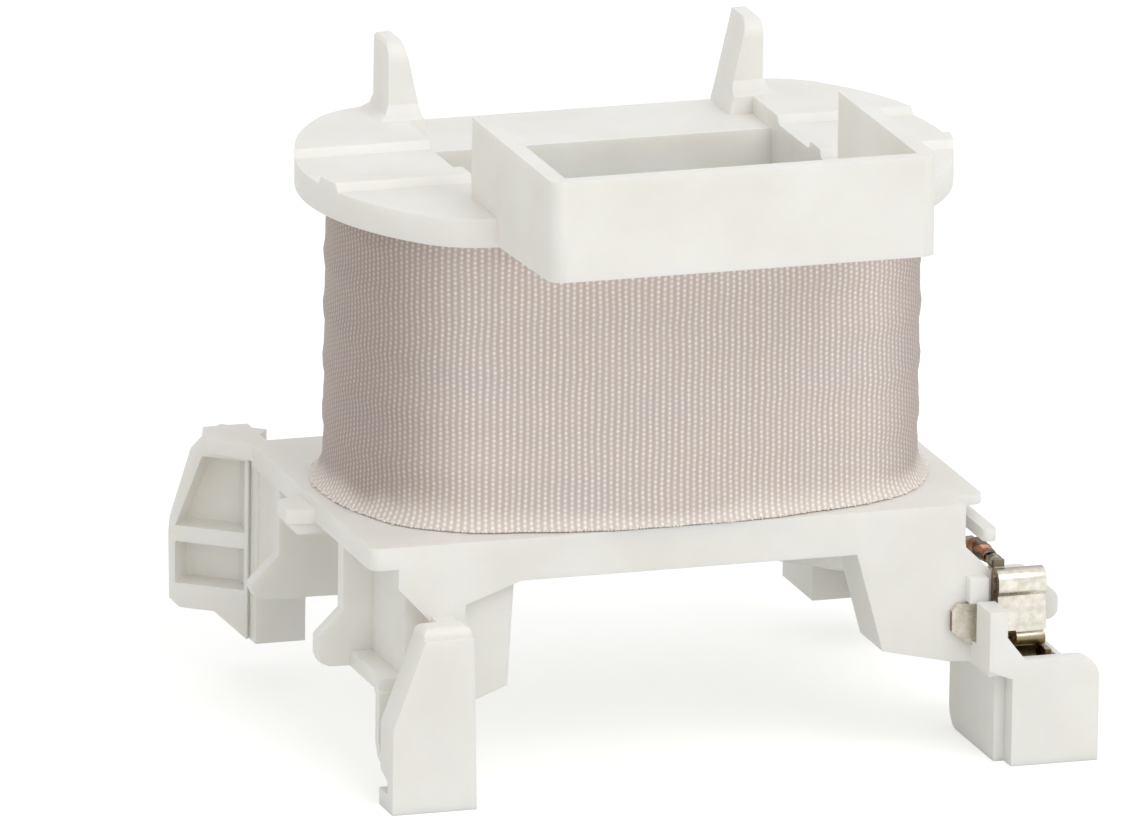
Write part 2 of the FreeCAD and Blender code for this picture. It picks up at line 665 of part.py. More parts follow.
def bent_strip(start, heading, moves, thickness, x0, x1):
    """Sheet strip bent in the YZ plane: flats and bends follow each other from the start point."""
    y, z = start
    angle = math.radians(heading)
    sides = {1: [], -1: []}
    half = thickness / 2

    def point(py, pz, side, direction):
        return Vector(x0, py - side * half * math.sin(direction), pz + side * half * math.cos(direction))

    for kind, *values in moves:
        if kind == "flat":
            ny, nz = y + values[0] * math.cos(angle), z + values[0] * math.sin(angle)
            for side in sides:
                line = Part.LineSegment(point(y, z, side, angle), point(ny, nz, side, angle))
                sides[side].append(line.toShape())
            y, z = ny, nz
        else:
            radius, turn = values[0], math.radians(values[1])
            sign = math.copysign(1, turn)
            cy, cz = y - sign * radius * math.sin(angle), z + sign * radius * math.cos(angle)

            def along(part):
                direction = angle + turn * part
                return (cy + sign * radius * math.sin(direction),
                        cz - sign * radius * math.cos(direction), direction)

            for side in sides:
                places = []
                for part in (0, 0.5, 1):
                    py, pz, direction = along(part)
                    places.append(point(py, pz, side, direction))
                sides[side].append(Part.Arc(*places).toShape())
            y, z, angle = along(1)
    edges = sides[1] + sides[-1]
    for index in (0, -1):
        ends = [sides[side][index].Vertexes[index].Point for side in (1, -1)]
        edges.append(Part.LineSegment(*ends).toShape())
    return Part.Face(Part.Wire(Part.__sortEdges__(edges))).extrude(Vector(x1 - x0, 0, 0))


def make_terminal():
    """Front spring terminal: lug, upright strip, bent contact spring, lower spring and winding post."""
    back_y = -flange_y - terminal_gap
    front_y = back_y - sheet
    clip_right_x = clip_left_x + clip_width
    lug = plate_xz([(lug_left_x, lug_top_z - lug_chamfer), (lug_left_x + lug_chamfer, lug_top_z),
                    (clip_right_x, lug_top_z), (clip_right_x, lug_bottom_z),
                    (lug_left_x + 1.1, lug_bottom_z), (lug_left_x, lug_bottom_z + 0.95)], front_y, back_y)
    middle = (front_y + back_y) / 2
    rise = clip_crest_z - clip_bend - sheet / 2 - lug_top_z
    spring = bent_strip((middle, lug_top_z - 0.2), 90,
                        [("flat", rise + 0.2), ("bend", clip_bend, 100), ("flat", 0.25),
                         ("bend", clip_bend, 75),
                         ("flat", 0.45), ("bend", 0.4, 35), ("flat", 0.3), ("bend", 0.3, -38),
                         ("flat", clip_flat)],
                        sheet, clip_left_x, clip_right_x)
    edge = min(spring.Vertexes, key=lambda v: v.Z).Point
    curl = bent_strip((edge.y + sheet / 2, edge.z + 0.2), 262,
                      [("flat", 0.35), ("bend", 0.3, -30), ("flat", 0.15), ("bend", clip_curl, 285)],
                      sheet, clip_left_x + clip_curl_inset, clip_right_x)
    lower = bent_strip((middle, lug_bottom_z + 0.2), 270,
                       [("flat", 0.3), ("bend", 0.5, -50), ("flat", 1.4), ("bend", 0.4, 100),
                        ("flat", 1.6)],
                       sheet, clip_left_x + 0.9, clip_right_x - 0.4)
    cheek_x = box_body_right_x - box_right_wall - cheek_clearance - sheet
    cheek = box(cheek_x, cheek_x + sheet, leg_front_y + box_body_setback + 0.3, back_y, cheek_bottom_z,
                box_top_z + 0.1)
    root = box(clip_right_x - 1.6, cheek_x + sheet, front_y, back_y, cheek_bottom_z, lug_bottom_z + 0.2)
    tang_root = box(tang_x - tang_size / 2, tang_x + tang_size / 2, middle - sheet / 2, middle + sheet / 2,
                    lug_top_z, tang_z + tang_size / 2)
    tang = box(tang_x - tang_size / 2, tang_x + tang_size / 2, middle, middle + tang_length,
               tang_z - sheet / 2, tang_z + sheet / 2)
    return joined([lug, spring, curl, lower, cheek, root, tang_root, tang])


def make_lead():
    """Wire end wrapped on the winding post: one turn beside the next, as a stack of rings."""
    middle = -flange_y - terminal_gap - sheet / 2
    start = -flange_y + arm_wall + lead_start
    rings = []
    for i in range(wire_turns):
        y = start + i * wire_pitch
        outer = box(tang_x - tang_size / 2 - wire_diameter, tang_x + tang_size / 2 + wire_diameter,
                    y, y + wire_diameter, tang_z - sheet / 2 - wire_diameter,
                    tang_z + sheet / 2 + wire_diameter)
        rings.append(outer)
    rod = box(tang_x - tang_size / 2 - wire_diameter / 2, tang_x + tang_size / 2 + wire_diameter / 2,
              start, start + (wire_turns - 1) * wire_pitch + wire_diameter,
              tang_z - sheet / 2 - wire_diameter / 2, tang_z + sheet / 2 + wire_diameter / 2)
    coil = joined(rings + [rod])
    return coil.cut(box(tang_x - tang_size / 2, tang_x + tang_size / 2, middle - 1,
                        middle + tang_length + 1, tang_z - sheet / 2, tang_z + sheet / 2))


def make_solder():
    """Blob of solder round the front end of the winding post, beside the last turn."""
    middle = -flange_y - terminal_gap - sheet / 2
    start = middle + 0.3
    ring = [Vector(tang_x + solder_radius * math.cos(math.radians(turn)), start,
                   tang_z + solder_radius * math.sin(math.radians(turn))) for turn in range(15, 375, 30)]
    blob = prism(ring, Vector(0, solder_length, 0))
    rims = [edge for edge in blob.Edges if abs(edge.Vertexes[0].Y - edge.Vertexes[1].Y) < 1e-6]
    blob = blob.makeChamfer(solder_radius * 0.4, rims)
    return blob.cut(box(tang_x - tang_size / 2, tang_x + tang_size / 2, start - 1,
                        start + solder_length + 1, tang_z - sheet / 2, tang_z + sheet / 2))


def save(name, shape):
    """Write one piece as its own file."""
    shape.exportStep(os.path.join("parts", name + ".step"))
    print(name, "valid", shape.isValid(), "solids", len(shape.Solids), "volume", round(shape.Volume, 1))


os.makedirs("parts", exist_ok=True)
terminal_front = make_terminal()
lead_front = make_lead()
solder_front = make_solder()
save("bobbin", make_bobbin())
save("winding", make_winding())
save("cloth_tape", make_tape())
save("terminal_front", terminal_front)
save("terminal_rear", mirrored(terminal_front, BACKWARD))
save("lead_front", lead_front)
save("lead_rear", mirrored(lead_front, BACKWARD))
save("solder_front", solder_front)
save("solder_rear", mirrored(solder_front, BACKWARD))
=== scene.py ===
import math
import random

import bmesh
import bpy
from mathutils import Matrix, Vector


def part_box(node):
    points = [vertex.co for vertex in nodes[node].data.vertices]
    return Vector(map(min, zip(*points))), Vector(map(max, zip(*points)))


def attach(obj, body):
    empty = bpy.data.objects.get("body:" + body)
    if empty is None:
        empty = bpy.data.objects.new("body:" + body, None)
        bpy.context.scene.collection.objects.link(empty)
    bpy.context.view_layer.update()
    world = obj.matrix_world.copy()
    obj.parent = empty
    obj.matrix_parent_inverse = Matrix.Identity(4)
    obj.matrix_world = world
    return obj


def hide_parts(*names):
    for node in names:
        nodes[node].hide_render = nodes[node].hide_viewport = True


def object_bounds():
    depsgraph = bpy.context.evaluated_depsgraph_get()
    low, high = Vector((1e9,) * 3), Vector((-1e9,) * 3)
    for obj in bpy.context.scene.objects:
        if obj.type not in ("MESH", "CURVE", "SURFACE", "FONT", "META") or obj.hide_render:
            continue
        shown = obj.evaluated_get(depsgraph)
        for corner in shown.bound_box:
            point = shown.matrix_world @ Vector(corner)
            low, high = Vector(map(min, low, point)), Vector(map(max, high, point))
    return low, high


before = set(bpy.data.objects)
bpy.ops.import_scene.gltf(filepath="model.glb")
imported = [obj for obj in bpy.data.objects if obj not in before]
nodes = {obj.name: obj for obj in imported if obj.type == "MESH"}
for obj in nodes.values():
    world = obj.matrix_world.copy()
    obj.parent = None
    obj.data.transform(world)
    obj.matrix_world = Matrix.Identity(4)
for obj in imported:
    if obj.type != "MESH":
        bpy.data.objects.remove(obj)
cad_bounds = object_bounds()
winding_low, winding_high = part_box("winding")
MM = 0.001

# Weave of the tape: upright threads side by side, each with crossings one above the other
THREAD_SPACING = 0.435 * MM
CROSSING_SPACING = 0.335 * MM
# The middle of the tape's wall stands this far outside the winding
TAPE_STANDOFF = 0.24 * MM
TAPE_WALL = 0.14 * MM
TAPE_PLACES = 440


def linear(code):
    """Linear colour from an sRGB hex code."""
    values = []
    for i in (1, 3, 5):
        c = int(code[i:i + 2], 16) / 255
        values.append(c / 12.92 if c <= 0.04045 else ((c + 0.055) / 1.055) ** 2.4)
    return (*values, 1.0)


def add_node(tree, kind, inputs=None, **settings):
    """Add a node with its settings. Each input is a socket to link, a colour code or a plain value."""
    node = tree.nodes.new(kind)
    for name, value in settings.items():
        setattr(node, name, value)
    for key, entry in (inputs or {}).items():
        if isinstance(entry, bpy.types.NodeSocket):
            tree.links.new(entry, node.inputs[key])
        else:
            node.inputs[key].default_value = linear(entry) if isinstance(entry, str) else entry
    return node


def reckon(tree, operation, *terms, **settings):
    """Result of an operation on numbers."""
    inputs = dict(enumerate(terms))
    return add_node(tree, "ShaderNodeMath", inputs, operation=operation, **settings).outputs[0]


def reckon_vector(tree, operation, *terms):
    """Result of an operation on vectors."""
    inputs = dict(enumerate(terms))
    return add_node(tree, "ShaderNodeVectorMath", inputs, operation=operation).outputs[0]


def split(tree, vector):
    """The three parts of a vector."""
    return add_node(tree, "ShaderNodeSeparateXYZ", {"Vector": vector}).outputs


def stretch(tree, place, scale):
    """A place scaled along each axis."""
    return add_node(tree, "ShaderNodeMapping", {"Vector": place, "Scale": scale}).outputs[0]


def noise(tree, place, scale, detail):
    """Noise with this many cycles to each unit of the place."""
    return add_node(tree, "ShaderNodeTexNoise",
                    {"Vector": place, "Scale": scale, "Detail": detail}).outputs[0]


def spread(tree, value, first, last, least=0.0, most=1.0, style="LINEAR"):
    """Turn the range from first to last into the range from least to most."""
    return add_node(tree, "ShaderNodeMapRange",
                    {"Value": value, "From Min": first, "From Max": last, "To Min": least, "To Max": most},
                    interpolation_type=style).outputs[0]


def ramp(tree, value, *stops):
    """Colour that follows a value. Each stop is a position and a colour code."""
    node = add_node(tree, "ShaderNodeValToRGB", {"Fac": value})
    elements = node.color_ramp.elements
    for position, _ in stops[1:-1]:
        elements.new(position)
    for element, (position, code) in zip(elements, stops):
        element.position = position
        element.color = linear(code)
    return node.outputs[0]


def blend(tree, factor, under, over, style="MIX"):
    """Lay one colour over another."""
    return add_node(tree, "ShaderNodeMix", {0: factor, 6: under, 7: over}, data_type="RGBA",
                    blend_type=style).outputs[2]


def relief(tree, height, strength, depth):
    """Surface direction that shows a height as fine relief."""
    return add_node(tree, "ShaderNodeBump",
                    {"Height": height, "Strength": strength, "Distance": depth}).outputs[0]


def new_material(name):
    """Material with an empty node tree."""
    material = bpy.data.materials.new(name)
    material.use_nodes = True
    material.node_tree.nodes.clear()
    return material, material.node_tree


def add_surface(tree, inputs):
    """Principled shader with these inputs, joined to the material's output."""
    shader = add_node(tree, "ShaderNodeBsdfPrincipled", inputs)
    add_node(tree, "ShaderNodeOutputMaterial", {"Surface": shader.outputs[0]})


def nylon():
    """White polyamide 66 from a spark-eroded mould: warm white, slightly waxy, with a fine matt grain."""
    material, tree = new_material("moulded_polyamide")
    place = add_node(tree, "ShaderNodeTexCoord").outputs["Object"]
    # Spark-erosion grain of about 0.12 mm, drawn at 0.2 mm so that it shows
    grain = noise(tree, place, 5000.0, 2.0)
    # Melt flow and handling leave clouds some 6 mm wide, barely darker or warmer
    cloud = noise(tree, place, 170.0, 3.0)
    add_surface(tree, {
        "Base Color": ramp(tree, cloud, (0.35, "#ECEAE4"), (0.7, "#F2F1ED")),
        "Roughness": spread(tree, cloud, 0.0, 1.0, 0.42, 0.54),
        "Normal": relief(tree, grain, 0.18, 0.02 * MM),
        "IOR": 1.53,
        "Subsurface Weight": 0.45,
        "Subsurface Radius": (1.0, 0.8, 0.55),
        "Subsurface Scale": 1.2 * MM})
    return material


def weave(tree, uv):
    """How much of an upright thread, and of a crossing on it, shows at each place of the cloth."""
    # Threads wander by up to 0.06 mm over some 4 mm
    drift = add_node(tree, "ShaderNodeTexNoise", {"Vector": uv, "Scale": 260.0, "Detail": 1.0})
    moved = reckon_vector(tree, "MULTIPLY_ADD", drift.outputs["Color"], (0.25 * MM, 0.25 * MM, 0), uv)
    counted = reckon_vector(tree, "MULTIPLY", moved, (1 / THREAD_SPACING, 1 / CROSSING_SPACING, 0))
    across, up, _ = split(tree, counted)
    # On every second thread the crossings stand half a spacing higher
    column = reckon(tree, "FLOOR", across)
    odd = reckon(tree, "FLOORED_MODULO", column, 2.0)
    row = reckon(tree, "MULTIPLY_ADD", odd, 0.5, up)
    number = add_node(tree, "ShaderNodeCombineXYZ", {0: column, 1: reckon(tree, "FLOOR", row)}).outputs[0]
    in_cell = add_node(tree, "ShaderNodeCombineXYZ", {0: across, 1: row}).outputs[0]
    centred = reckon_vector(tree, "SUBTRACT", reckon_vector(tree, "FRACTION", in_cell), (0.5, 0.5, 0))
    # Each crossing is an oval about two thirds of a spacing wide and nine tenths high, some fainter
    oval = reckon_vector(tree, "MULTIPLY", centred, (1 / 0.34, 1 / 0.46, 0))
    reach = add_node(tree, "ShaderNodeVectorMath", {0: oval}, operation="LENGTH").outputs["Value"]
    bulge = spread(tree, reach, 1.1, 0.2, style="SMOOTHSTEP")
    chance = add_node(tree, "ShaderNodeTexWhiteNoise", {"Vector": number}, noise_dimensions="2D")
    strength = spread(tree, chance.outputs["Value"], 0.0, 1.0, 0.55, 1.0)
    crossing = reckon(tree, "MULTIPLY", bulge, strength)
    # The upright thread between its crossings
    from_thread = reckon(tree, "ABSOLUTE", split(tree, centred)[0])
    strand = spread(tree, from_thread, 0.42, 0.08, style="SMOOTHSTEP")
    return strand, crossing


def woven_cloth():
    """Plain-woven cotton tape in clear varnish: cream crossings on a pinkish ground, with a little sheen."""
    material, tree = new_material("varnished_cotton_tape")
    uv = add_node(tree, "ShaderNodeUVMap", uv_map="cloth").outputs[0]
    strand, crossing = weave(tree, uv)
    # Varnish and the wire beneath tint the ground in level bands and patches of 3 to 15 mm
    patch = noise(tree, stretch(tree, uv, (70.0, 260.0, 1.0)), 1.0, 2.5)
    ground = ramp(tree, patch, (0.32, "#CDBDB6"), (0.5, "#CABAB1"), (0.68, "#C6BAB8"))
    threads = blend(tree, strand, ground, "#D6C9C1")
    woven = blend(tree, crossing, threads, "#FAF3EC")
    # Painted shade: the cloth is darkened towards the winding's two ends, where it turns sideways, away from
    # the light
    place = add_node(tree, "ShaderNodeTexCoord").outputs["Object"]
    from_middle = reckon(tree, "ABSOLUTE", split(tree, place)[0])
    painted_end_shade = spread(tree, from_middle, 13.5 * MM, 19.8 * MM, 0.0, 0.85, style="SMOOTHSTEP")
    face = blend(tree, painted_end_shade, woven, "#C4BCB9", style="MULTIPLY")
    # The lowest 1 to 3 mm are loosened: paler threads with open gaps between them. The paleness is partly
    # painted light, standing in for light thrown up from the flange
    loose_and_lit_top = spread(tree, noise(tree, uv, 130.0, 2.0), 0.35, 0.65, 1.2 * MM, 2.8 * MM)
    loose_and_bounce_lit = spread(tree, split(tree, uv)[1], loose_and_lit_top, 0.0, style="SMOOTHSTEP")
    raised = reckon(tree, "MULTIPLY_ADD", strand, 0.35, crossing, use_clamp=True)
    pale_streak_and_bounce_light = blend(tree, raised, "#DDD1C7", "#FFFBF5")
    add_surface(tree, {
        "Base Color": blend(tree, reckon(tree, "MULTIPLY", loose_and_bounce_lit, 0.85), face, pale_streak_and_bounce_light),
        "Roughness": 0.6,
        "Normal": relief(tree, raised, 0.4, 0.06 * MM),
        "Sheen Weight": 0.1,
        "Sheen Roughness": 0.4})
    return material


def loose_thread():
    """Loose cotton yarn with varnish on it: cream with paler flecks of 0.3 mm."""
    material, tree = new_material("loose_cotton_yarn")
    place = add_node(tree, "ShaderNodeTexCoord").outputs["Object"]
    fleck = noise(tree, place, 3000.0, 2.0)
    add_surface(tree, {
        "Base Color": ramp(tree, fleck, (0.35, "#E9DFD4"), (0.65, "#FBF6EE")),
        "Roughness": 0.7,
        "Normal": relief(tree, fleck, 0.3, 0.02 * MM)})
    return material


def tinned_copper():
    """Copper sheet tinned before stamping: satin tin with die marks, and bare copper on its cut edges."""
    material, tree = new_material("tinned_copper_sheet")
    spot = add_node(tree, "ShaderNodeTexCoord").outputs
    place = spot["Object"]
    # Die marks run up and down the strip, about 0.12 mm apart, with a few across
    upright = noise(tree, stretch(tree, place, (8500.0, 500.0, 500.0)), 1.0, 3.0)
    level = noise(tree, stretch(tree, place, (600.0, 3500.0, 5000.0)), 1.0, 1.0)
    marks = reckon(tree, "ADD", upright, level)
    tin = ramp(tree, noise(tree, place, 1800.0, 3.0), (0.35, "#D3CEC0"), (0.65, "#E9E5DB"))
    # Painted shade and reflection: low down and to the right, where the strip is rolled, it is coloured
    # olive brown for the shade and the dark reflections inside the roll
    right, _, up = split(tree, place)
    low = spread(tree, up, -8.55 * MM, -9.1 * MM, style="SMOOTHSTEP")
    aside = spread(tree, right, 21.0 * MM, 21.7 * MM, style="SMOOTHSTEP")
    roll_painted_shade = blend(tree, reckon(tree, "MULTIPLY", low, aside), tin, "#978B6C")
    # Flux from soldering has browned the winding post
    post = spread(tree, up, -4.45 * MM, -4.3 * MM)
    fluxed = blend(tree, post, roll_painted_shade, "#7A7062")
    # The strips were cut along their sides, so a face that looks sideways is bare, darkened copper
    sideways = reckon(tree, "ABSOLUTE", split(tree, spot["Normal"])[0])
    cut = spread(tree, sideways, 0.9, 0.98)
    add_surface(tree, {
        "Base Color": blend(tree, cut, fluxed, "#94755C"),
        "Roughness": spread(tree, marks, 0.6, 1.4, 0.2, 0.42),
        "Normal": relief(tree, marks, 0.3, 0.01 * MM),
        "Metallic": 1.0})
    return material


def copper_wire():
    """Copper wire under clear enamel, browned by varnish in places: orange glints on dark brown."""
    material, tree = new_material("enamelled_copper_wire")
    place = add_node(tree, "ShaderNodeTexCoord").outputs["Object"]
    patch = noise(tree, place, 1100.0, 2.0)
    add_surface(tree, {
        "Base Color": ramp(tree, patch, (0.48, "#5E5145"), (0.62, "#C98B66")),
        "Roughness": spread(tree, patch, 0.0, 1.0, 0.45, 0.2),
        "Metallic": 1.0,
        "Coat Weight": 0.5,
        "Coat Roughness": 0.1})
    return material


def tin_solder():
    """Tin solder frozen on the post: grey and softly mottled."""
    material, tree = new_material("tin_solder")
    place = add_node(tree, "ShaderNodeTexCoord").outputs["Object"]
    patch = noise(tree, place, 2500.0, 3.0)
    add_surface(tree, {
        "Base Color": ramp(tree, patch, (0.0, "#6F6A60"), (1.0, "#A9A59B")),
        "Roughness": spread(tree, patch, 0.0, 1.0, 0.3, 0.55),
        "Metallic": 1.0})
    return material


def give(obj, material):
    """The object's only material."""
    obj.data.materials.clear()
    obj.data.materials.append(material)


def soften(obj, width, sharp=35):
    """Round the sharp edges a little, as a mould or a punch leaves them."""
    weld = obj.modifiers.new("weld", "WELD")
    weld.merge_threshold = 0.001 * MM
    flat = obj.modifiers.new("flat", "DECIMATE")
    flat.decimate_type = "DISSOLVE"
    flat.angle_limit = math.radians(0.3)
    bevel = obj.modifiers.new("bevel", "BEVEL")
    bevel.width = width
    bevel.segments = 2
    bevel.limit_method = "ANGLE"
    bevel.angle_limit = math.radians(sharp)
    bevel.use_clamp_overlap = True


def quarter_outline(steps=400):
    """Places on the winding from its right end to the middle of its back, and the same places backwards.

    Each place is a point and its way outwards.
    """
    half_x, half_y = (winding_high[0] - winding_low[0]) / 2, (winding_high[1] - winding_low[1]) / 2
    # The corner arc's radius, and how far its centre stands in from the end and from the side
    radius, drop_x, drop_y = 9.24 * MM, 9.81 * MM, 10.54 * MM
    corner = Vector((half_x - drop_x, half_y - drop_y, 0))
    # The wide arcs over the side and over the end meet the corner arc without a kink
    side_radius = (radius ** 2 - corner.x ** 2 - drop_y ** 2) / (2 * (radius - drop_y))
    end_radius = (radius ** 2 - corner.y ** 2 - drop_x ** 2) / (2 * (radius - drop_x))
    side, end = Vector((0, half_y - side_radius, 0)), Vector((half_x - end_radius, 0, 0))
    to_end = math.atan2(corner.y - end.y, corner.x - end.x)
    to_side = math.atan2(corner.y - side.y, corner.x - side.x)
    quarter = []
    for centre, reach, first, last in ((end, end_radius, 0, to_end), (corner, radius, to_end, to_side),
                                       (side, side_radius, to_side, math.pi / 2)):
        for step in range(steps):
            turn = first + (last - first) * step / steps
            way = Vector((math.cos(turn), math.sin(turn), 0))
            quarter.append((centre + way * reach, way))
    back = [(Vector((0, half_y, 0)), Vector((0, 1, 0)))] + quarter[:0:-1]
    return quarter, back


def winding_outline(count):
    """Even points round the winding, each with its way outwards, and the length all round."""
    quarter, back = quarter_outline()
    fine = []
    for sx, sy, run in ((1, 1, quarter), (-1, 1, back), (-1, -1, quarter), (1, -1, back)):
        fine += [(Vector((sx * p.x, sy * p.y, 0)), Vector((sx * n.x, sy * n.y, 0))) for p, n in run]
    fine.append(fine[0])
    lengths = [0.0]
    for (a, _), (b, _) in zip(fine, fine[1:]):
        lengths.append(lengths[-1] + (b - a).length)
    places, index = [], 0
    for i in range(count):
        target = lengths[-1] * i / count
        while lengths[index + 1] <= target:
            index += 1
        part = (target - lengths[index]) / (lengths[index + 1] - lengths[index])
        places.append((fine[index][0].lerp(fine[index + 1][0], part),
                       fine[index][1].lerp(fine[index + 1][1], part).normalized()))
    return places, lengths[-1]


def skirt_reach(place, way, level):
    """How far the tape's lower edge stands out at a level in mm: most at the winding's two ends."""
    turn = math.atan2(place.y, place.x)
    end = way.x ** 2
    most = 0.32 + 0.45 * end + 0.07 * math.sin(9 * turn) + 0.05 * math.sin(23 * turn + 1)
    height = 1.1 + 0.5 * end
    return most * MM * max(0.0, 1 - level / height) ** 2


def tape_levels(top):
    """Levels of the tape's rings in mm, closest at its lower edge."""
    step = 0.6
    levels = [0.0, 0.12, 0.3, 0.55, 0.85, 1.2, 1.7]
    while levels[-1] < top - 1.5 * step:
        levels.append(levels[-1] + step)
    levels.append(top)
    return levels


def make_tape(places, around_length):
    """The woven tape as one thin sheet round the winding, its lower edge spread on the flange."""
    top = (winding_high[2] - winding_low[2]) / MM
    floor_gap = 0.01 * MM
    levels = tape_levels(top)
    around = len(places)
    mesh = bpy.data.meshes.new("cloth_tape_woven")
    form = bmesh.new()
    layer = form.loops.layers.uv.new("cloth")
    rings = []
    for level in levels:
        ring = []
        for place, way in places:
            turn = math.atan2(place.y, place.x)
            # Turns of tape under the outer one show as level waves, deepest at the two ends
            wave = math.sin(level * 1.75 + 0.8 * math.sin(2 * turn)) + 0.6 * math.sin(level * 3.4 + 2 * turn)
            wave *= (0.025 + 0.035 * abs(way.x)) * MM * min(1.0, level / 3, (top - level) / 1.5)
            point = place + way * (TAPE_STANDOFF + skirt_reach(place, way, level) + wave)
            ring.append(form.verts.new((point.x, point.y, winding_low[2] + level * MM + floor_gap)))
        rings.append(ring)
    for k in range(len(levels) - 1):
        for i in range(around):
            j = (i + 1) % around
            face = form.faces.new((rings[k][i], rings[k][j], rings[k + 1][j], rings[k + 1][i]))
            face.smooth = True
            for loop, (column, row) in zip(face.loops, ((i, k), (i + 1, k), (i + 1, k + 1), (i, k + 1))):
                loop[layer].uv = (around_length * column / around, levels[row] * MM)
    form.to_mesh(mesh)
    form.free()
    tape = bpy.data.objects.new("cloth_tape_woven", mesh)
    bpy.context.collection.objects.link(tape)
    wall = tape.modifiers.new("wall", "SOLIDIFY")
    wall.thickness = TAPE_WALL
    wall.offset = 0
    return tape, top * MM


def tube(form, path, radii, sides):
    """Add a round tube along the points of a path, closed at both ends."""
    rings = []
    for k, point in enumerate(path):
        ahead = path[min(k + 1, len(path) - 1)] - path[max(k - 1, 0)]
        across = ahead.cross(Vector((0, 0, 1)))
        if across.length < 1e-9:
            across = Vector((1, 0, 0))
        across.normalize()
        over = across.cross(ahead).normalized()
        ring = []
        for i in range(sides):
            turn = 2 * math.pi * i / sides
            ring.append(form.verts.new(point + radii[k] * (math.cos(turn) * across + math.sin(turn) * over)))
        rings.append(ring)
    for a, b in zip(rings, rings[1:]):
        for i in range(sides):
            j = (i + 1) % sides
            form.faces.new((a[i], a[j], b[j], b[i])).smooth = True
    form.faces.new(rings[0][::-1])
    form.faces.new(rings[-1])


def finish_form(form, name):
    """Make an object of the form, its faces outwards."""
    bmesh.ops.recalc_face_normals(form, faces=form.faces[:])
    mesh = bpy.data.meshes.new(name)
    form.to_mesh(mesh)
    form.free()
    made = bpy.data.objects.new(name, mesh)
    bpy.context.collection.objects.link(made)
    return made


def make_thread_ends(places):
    """Loose thread ends of the tape's cut lower edge, lying out on the flange."""
    chance = random.Random(11)
    bare_share = 0.1
    form = bmesh.new()
    for place, way in places:
        if chance.random() < bare_share:
            continue
        along = Vector((-way.y, way.x, 0))
        foot = place + way * (TAPE_STANDOFF + skirt_reach(place, way, 0.05))
        foot.z = winding_low[2] + 0.06 * MM
        length = chance.uniform(0.08, 0.3) * MM
        lean = chance.uniform(-0.5, 0.5)
        out = (way + lean * along).normalized()
        thick = chance.uniform(0.07, 0.1) * MM
        # From inside the tape's wall, over its edge and out onto the flange
        path = [foot - 0.25 * MM * out + Vector((0, 0, 0.12 * MM)), foot + 0.4 * length * out,
                foot + length * out + Vector((0, 0, chance.uniform(-0.03, 0.06) * MM))]
        tube(form, path, (thick, thick, 0.4 * thick), 5)
    return finish_form(form, "tape_thread_ends")


def make_wrap(name, low, high, out):
    """Wire end wound on the flat post in even turns, from the flange's side out to the solder."""
    wire = 0.10 * MM
    turns, steps = 13, 28
    half_width, half_height, narrowing, wobble = 0.60, 0.48, 0.17, 0.03
    # A power under one turns each round turn of wire into one with flatter sides
    flatness = 0.8
    middle_x, middle_z = (low[0] + high[0]) / 2, (low[2] + high[2]) / 2
    inner, outer = (high[1], low[1]) if out < 0 else (low[1], high[1])
    length = abs(outer - inner) - 2 * wire
    path = []
    for k in range(turns * steps + 1):
        part = k / (turns * steps)
        turn = 2 * math.pi * k / steps
        # The bundle narrows towards the solder
        wide = (half_width - narrowing * part ** 2 + wobble * math.sin(5.3 * part * math.pi)) * MM
        tall = (half_height - narrowing * part ** 2 + wobble * math.sin(4.1 * part * math.pi)) * MM
        y = inner + out * (wire + length * part)
        c, s = math.cos(turn), math.sin(turn)
        path.append(Vector((middle_x + math.copysign(wide * abs(c) ** flatness, c), y,
                            middle_z + math.copysign(tall * abs(s) ** flatness, s))))
    form = bmesh.new()
    tube(form, path, [wire] * len(path), 8)
    return finish_form(form, name)


def make_floor():
    """Plain pale floor under the lowest point."""
    bpy.ops.object.select_all(action="DESELECT")
    bpy.ops.mesh.primitive_plane_add(size=4, location=(0, 0, cad_bounds[0][2] - 0.02 * MM))
    floor = bpy.context.object
    floor.name = "floor"
    bpy.ops.object.transform_apply(location=True)
    material, tree = new_material("pale_floor")
    # It glows for the camera and for reflections, so that it looks as white as the background
    ray = add_node(tree, "ShaderNodeLightPath").outputs
    seen = reckon(tree, "MAXIMUM", ray["Is Camera Ray"], ray["Is Glossy Ray"])
    glow = add_node(tree, "ShaderNodeEmission",
                    {"Color": (1, 1, 1, 1), "Strength": reckon(tree, "MULTIPLY", seen, 0.45)})
    matt = add_node(tree, "ShaderNodeBsdfDiffuse", {"Color": "#E6E6E4"})
    both = add_node(tree, "ShaderNodeAddShader", {0: glow.outputs[0], 1: matt.outputs[0]})
    add_node(tree, "ShaderNodeOutputMaterial", {"Surface": both.outputs[0]})
    give(floor, material)


def light_world():
    """White background for the camera and reflections, and a soft even light for the rest."""
    world = bpy.data.worlds.new("studio")
    bpy.context.scene.world = world
    world.use_nodes = True
    tree = world.node_tree
    tree.nodes.clear()
    ray = add_node(tree, "ShaderNodeLightPath").outputs
    through = reckon(tree, "MAXIMUM", ray["Is Glossy Ray"], ray["Is Transmission Ray"])
    seen = reckon(tree, "MAXIMUM", ray["Is Camera Ray"], through)
    white = add_node(tree, "ShaderNodeBackground", {"Color": (1, 1, 1, 1), "Strength": 1.0})
    soft = add_node(tree, "ShaderNodeBackground", {"Color": (1, 1, 1, 1), "Strength": 0.74})
    mix = add_node(tree, "ShaderNodeMixShader", {0: seen, 1: soft.outputs[0], 2: white.outputs[0]})
    add_node(tree, "ShaderNodeOutputWorld", {"Surface": mix.outputs[0]})


def area_light(name, place, size, power):
    """Square soft box that faces the object. Place and size are in metres, power in watts."""
    data = bpy.data.lights.new(name, "AREA")
    data.shape = "SQUARE"
    data.size = size
    data.energy = power
    lamp = bpy.data.objects.new(name, data)
    bpy.context.collection.objects.link(lamp)
    lamp.location = place
    lamp.rotation_euler = (-Vector(place)).to_track_quat("-Z", "Y").to_euler()


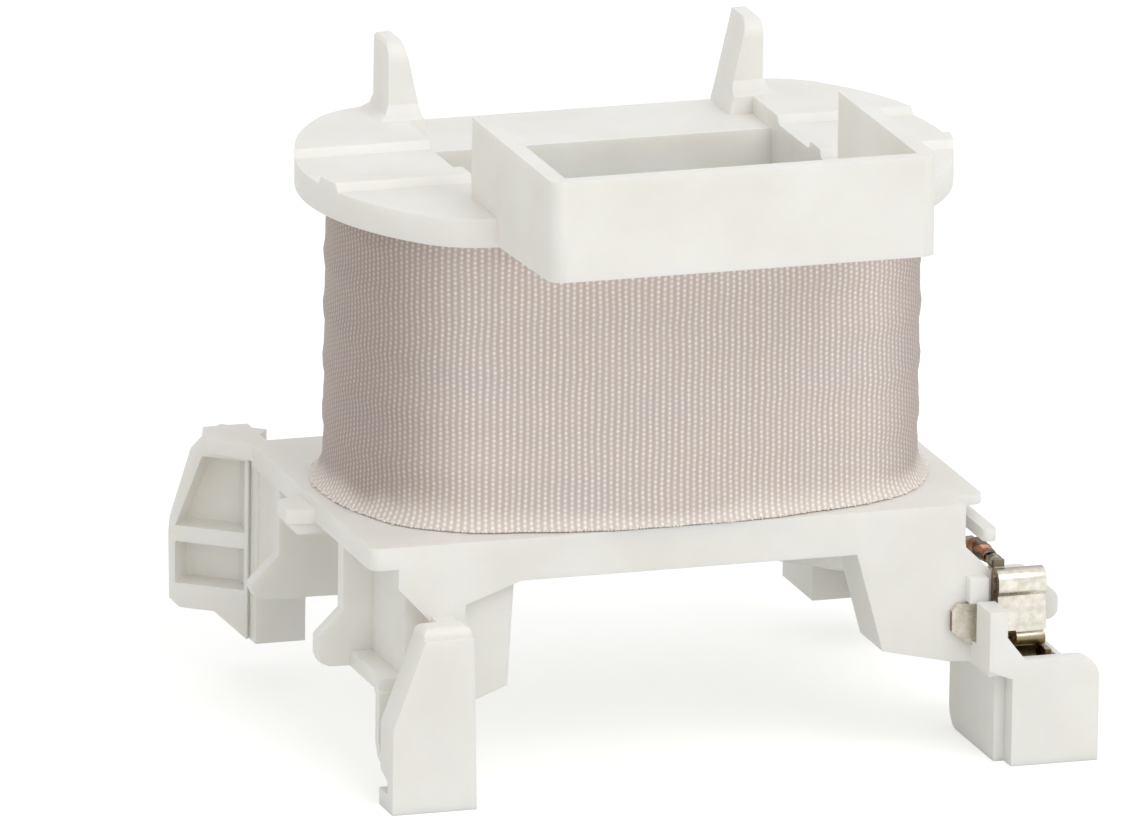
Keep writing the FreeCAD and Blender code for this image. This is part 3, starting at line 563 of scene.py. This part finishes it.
def make_camera():
    """Long lens, 18 degrees to the left of the front and 16 degrees above it."""
    turn, tilt, roll = math.radians(18.2), math.radians(15.7), math.radians(0.8)
    # Distance and shifts in mm, and how many of the picture's pixels show 1 mm
    distance, shift_right, shift_up = 1600.0, -3.257, 3.960
    pixels_per_mm, picture_width, sensor_width = 14.95, 1144, 36
    look = Vector((math.sin(turn) * math.cos(tilt), math.cos(turn) * math.cos(tilt), -math.sin(tilt)))
    right = Vector((math.cos(turn), -math.sin(turn), 0))
    up = right.cross(look)
    place = -distance * look + shift_right * right + shift_up * up
    axis_x = math.cos(roll) * right + math.sin(roll) * up
    axis_y = -math.sin(roll) * right + math.cos(roll) * up
    data = bpy.data.cameras.new("camera")
    data.sensor_width = sensor_width
    data.lens = pixels_per_mm * distance / picture_width * sensor_width
    camera = bpy.data.objects.new("camera", data)
    bpy.context.collection.objects.link(camera)
    turned = Matrix((axis_x, axis_y, -look)).transposed().to_4x4()
    camera.matrix_world = Matrix.Translation(place * MM) @ turned
    bpy.context.scene.camera = camera


# Colours render as they are written
bpy.context.scene.view_settings.view_transform = "Standard"
make_camera()
light_world()
make_floor()
area_light("key", (0.20, -0.55, 0.62), size=0.6, power=2.15)
area_light("fill", (-0.35, -0.85, 0.05), size=0.5, power=0.5)

metal = tinned_copper()
copper = copper_wire()
solder = tin_solder()
give(nodes["bobbin"], nylon())
soften(nodes["bobbin"], 0.2 * MM)
give(nodes["winding"], copper)
for side, out in (("front", -1), ("rear", 1)):
    give(nodes["terminal_" + side], metal)
    soften(nodes["terminal_" + side], 0.06 * MM)
    give(nodes["solder_" + side], solder)
    soften(nodes["solder_" + side], 0.12 * MM, sharp=25)
    wrap = make_wrap("wire_wrap_" + side, *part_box("lead_" + side), out)
    give(wrap, copper)
    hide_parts("lead_" + side)
    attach(wrap, "root")

places, tape_round = winding_outline(TAPE_PLACES)
tape, tape_height = make_tape(places, tape_round)
give(tape, woven_cloth())
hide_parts("cloth_tape")
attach(tape, "root")
threads = make_thread_ends(places)
give(threads, loose_thread())
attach(threads, "root")
